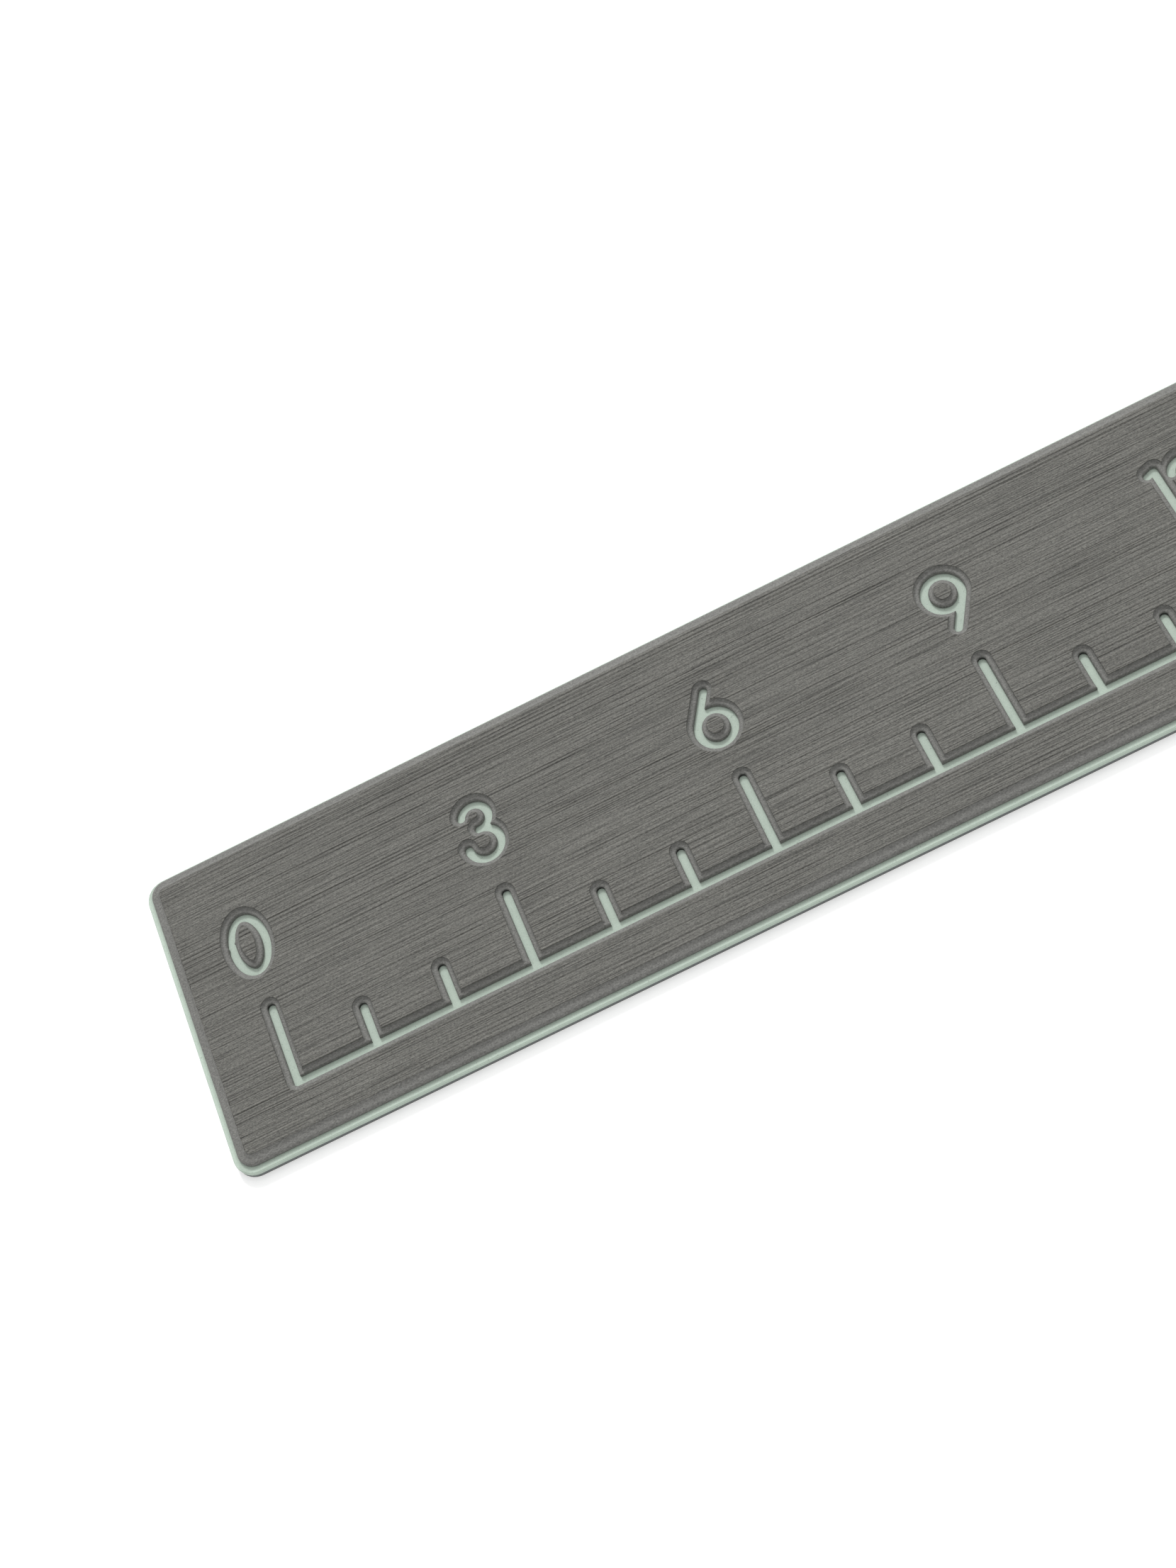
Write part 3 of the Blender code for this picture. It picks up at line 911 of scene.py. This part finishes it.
def grey_foam_material():
    """Dark grey foam: brushed skin on top, with a fine grain everywhere."""
    paint = Paint("grey_top_foam")
    axes = paint.axes()
    ragged = paint.noise((1.6, 1.1, 1.1), detail=3.0, roughness=0.6)
    scratches = paint.noise((26.0, 0.38, 5.0), detail=3.0, roughness=0.6)
    fibres = paint.noise((0.80, 0.38, 0.6), detail=3.0, roughness=0.6)
    grain = paint.noise((0.48, 0.48, 0.48), detail=3.0, roughness=0.6)
    patches = paint.noise((60.0, 12.0, 10.0))

    # The skin ends at a ragged depth below its highest level
    depth = paint.math("SUBTRACT", SKIN_Z * MM, axes["Z"])
    depth = paint.math("ADD", depth, paint.fit(ragged, *FINE_NOISE, -0.07 * MM, 0.07 * MM))
    skin = paint.fit(depth, DEEPEST_STREAK * MM, (DEEPEST_STREAK + 0.1) * MM, 1.0, 0.0)

    fibre_shade = paint.fit(fibres, *FINE_NOISE, -0.28, 0.28)
    grain_shade = paint.math("ADD", fibre_shade, paint.fit(grain, *FINE_NOISE, -0.19, 0.19))
    grain_shade = paint.product(grain_shade, paint.fit(skin, 0.0, 1.0, 0.8, 1.0))
    scratch_shade = paint.product(paint.fit(scratches, 0.51, 0.64, 0.0, 0.46), skin)
    # The tick-end walls also get their painted shade here
    light = paint.product(
        paint.fit(patches, *SOFT_NOISE, 0.95, 1.05),
        paint.math("ADD", 1.0, grain_shade),
        paint.math("SUBTRACT", 1.0, scratch_shade),
        tick_end_shade(paint, axes),
    )

    height = paint.product(paint.fit(scratches, 0.35, 0.70, 1.2, 0.0), skin)
    height = paint.math("ADD", height, paint.product(fibres, paint.fit(skin, 0.0, 1.0, 0.7, 1.3)))
    height = paint.math("ADD", height, paint.product(grain, 1.2))
    height = paint.math("ADD", height, ragged)
    paint.bump(height, 0.13)
    colour = paint.mix(skin, CUT_GREY, SKIN_GREY)
    return paint.finish(paint.scaled(colour, light), paint.fit(fibres, *FINE_NOISE, 0.62, 0.80))


def mint_foam_material():
    """Pale green closed-cell foam with fine speckles and specks, and a painted highlight along its rounded
    upper edge.
    """
    paint = Paint("mint_middle_foam")
    axes = paint.axes()
    speckle = paint.noise((0.30, 0.30, 0.30), detail=3.0, roughness=0.6)
    cloud = paint.noise((9.0, 5.0, 3.0), detail=2.0)
    specks = paint.noise((0.75, 0.75, 0.75), detail=3.0, roughness=0.6)
    # Painted highlight: near the top and within 1.4 mm of the outline, the rounded upper edge is lightened
    # up to 1.2 times
    rims = []
    for axis, half in (("X", HALF_X), ("Y", HALF_Y)):
        out = paint.math("ABSOLUTE", axes[axis], 0.0)
        rims.append(paint.fit(out, (half - 1.4) * MM, (half - 0.7) * MM, 0.0, 1.0))
    upper = paint.fit(axes["Z"], (FLOOR_Z - 0.7) * MM, (FLOOR_Z - 0.3) * MM, 0.0, 1.0)
    rim_highlight = paint.product(paint.math("MAXIMUM", rims[0], rims[1]), upper)
    light = paint.product(
        paint.fit(speckle, *FINE_NOISE, 0.93, 1.07),
        paint.fit(cloud, *SOFT_NOISE, 0.97, 1.03),
        paint.fit(rim_highlight, 0.0, 1.0, 1.0, 1.2),
        paint.fit(specks, 0.64, 0.74, 1.0, 0.62),
    )
    paint.bump(speckle, 0.06)
    return paint.finish(paint.scaled(MINT, light), 0.72)


def base_foam_material():
    """Dark foam under the mint one, with open cut cells on its side."""
    paint = Paint("dark_base_foam")
    cells = paint.noise((0.45, 0.45, 0.25), detail=2.0)
    light = paint.fit(cells, *SOFT_NOISE, 0.85, 1.15)
    paint.bump(cells, 0.05)
    return paint.finish(paint.scaled(BASE_GREY, light), 0.8)


def film_material():
    """Tacky acrylic adhesive film."""
    paint = Paint("acrylic_adhesive")
    ripple = paint.noise((3.0, 3.0, 0.5), detail=3.0)
    paint.bump(ripple, 0.02)
    return paint.finish(paint.scaled(FILM_COLOUR, paint.fit(ripple, *SOFT_NOISE, 0.95, 1.05)), 0.35)


def liner_material():
    """Silicone-coated release paper with a faint fibre."""
    paint = Paint("liner_paper")
    fibre = paint.noise((1.8, 0.7, 0.4), detail=4.0, roughness=0.6)
    paint.bump(fibre, 0.01)
    return paint.finish(paint.scaled(LINER_COLOUR, paint.fit(fibre, *SOFT_NOISE, 0.96, 1.03)), 0.42)


def floor_material():
    """Plain white studio sweep that glows a little, so that it stays white in the ruler's soft shade."""
    paint = Paint("white_sweep")
    cloud = paint.noise((400.0, 400.0, 400.0))
    paint.surface.inputs["Emission Color"].default_value = (1.0, 1.0, 1.0, 1.0)
    paint.surface.inputs["Emission Strength"].default_value = FLOOR_GLOW
    colour = (FLOOR_GREY, FLOOR_GREY, FLOOR_GREY)
    return paint.finish(paint.scaled(colour, paint.fit(cloud, *SOFT_NOISE, 0.99, 1.0)), 0.9, 0.1)


# ---------------------------------------------------------------- pieces

def add_piece(name, mesh, node, material):
    """Put a finished mesh in the scene in place of its CAD layer."""
    piece = bpy.data.objects.new(name, mesh)
    bpy.context.scene.collection.objects.link(piece)
    mesh.materials.append(material)
    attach(piece, "root")
    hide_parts(node)
    return piece


def add_layers():
    """The ruler's layers, from the liner up."""
    liner = slab_mesh("liner", [(0.0, LINER_BOTTOM), (0.0, LINER_TOP)])
    add_piece("release_liner_paper", liner, "release_liner", liner_material())
    film = slab_mesh("film", [(0.0, LINER_TOP), (0.0, FILM_TOP)])
    add_piece("adhesive_film_sheet", film, "adhesive_film", film_material())
    base = slab_mesh("base", [(BASE_INSET, FILM_TOP), (0.0, FILM_TOP + BASE_INSET_RISE), (0.0, BASE_TOP)])
    foams = [add_piece("base_foam", base, "base_foam_layer", base_foam_material())]
    mint = slab_mesh("mint", rounded_section(BASE_TOP, FLOOR_Z, MINT_ROUND))
    foams.append(add_piece("mint_foam", mint, "mint_foam_layer", mint_foam_material()))
    grey = grey_foam_material()
    for node, mesh in sorted(top_foam_meshes().items()):
        foams.append(add_piece("routed_" + node, mesh, node, grey))


def add_floor():
    """A wide pale floor under the ruler."""
    mesh = bpy.data.meshes.new("floor")
    signs = ((-1.0, -1.0), (1.0, -1.0), (1.0, 1.0), (-1.0, 1.0))
    corners = [(x * FLOOR_REACH, y * FLOOR_REACH, -FLOOR_DROP * MM) for x, y in signs]
    mesh.from_pydata(corners, [], [(0, 1, 2, 3)])
    floor = bpy.data.objects.new("floor", mesh)
    bpy.context.scene.collection.objects.link(floor)
    mesh.materials.append(floor_material())


# ---------------------------------------------------------------- camera and light

def add_camera():
    """A camera above the near left of the ruler, rolled so that the ruler climbs to the right."""
    camera = bpy.data.objects.new("camera", bpy.data.cameras.new("camera"))
    bpy.context.scene.collection.objects.link(camera)
    angles = (CAMERA_ELEVATION, CAMERA_AZIMUTH, CAMERA_ROLL)
    elevation, azimuth, roll = (math.radians(angle) for angle in angles)
    out = Vector((
        math.sin(azimuth) * math.cos(elevation),
        -math.cos(azimuth) * math.cos(elevation),
        math.sin(elevation),
    ))
    across = Vector((0.0, 0.0, 1.0)).cross(out).normalized()
    upward = out.cross(across)
    up = upward * math.cos(roll) + across * math.sin(roll)
    right = up.cross(out)
    turn = Matrix((right, up, out)).transposed().to_4x4()
    camera.matrix_world = Matrix.Translation(CAMERA_TARGET + CAMERA_DISTANCE * out) @ turn
    camera.data.lens = CAMERA_LENS
    camera.data.sensor_width = 36.0
    camera.data.clip_start = 0.01
    camera.data.clip_end = 50.0
    bpy.context.scene.camera = camera


def add_lamp(name, elevation, azimuth, spread, share):
    """A distant lamp, spread over an angle of the sky."""
    rise, turn = math.radians(elevation), math.radians(azimuth)
    toward = Vector((math.sin(turn) * math.cos(rise), math.cos(turn) * math.cos(rise), math.sin(rise)))
    data = bpy.data.lights.new(name, "SUN")
    data.angle = math.radians(spread)
    data.energy = share * math.pi / math.sin(rise)
    light = bpy.data.objects.new(name, data)
    bpy.context.scene.collection.objects.link(light)
    light.location = toward
    light.rotation_euler = toward.to_track_quat("Z", "Y").to_euler()


def add_lights():
    """A white dome, a key lamp beyond the ruler and a broad lamp above it."""
    world = bpy.data.worlds.new("studio")
    world.use_nodes = True
    background = world.node_tree.nodes["Background"]
    background.inputs["Color"].default_value = (1.0, 1.0, 1.0, 1.0)
    background.inputs["Strength"].default_value = DOME
    bpy.context.scene.world = world
    add_lamp("key_lamp", **KEY)
    add_lamp("broad_lamp", **FILL)
    bpy.context.scene.view_settings.view_transform = "Standard"


add_camera()
add_lights()
add_floor()
add_layers()
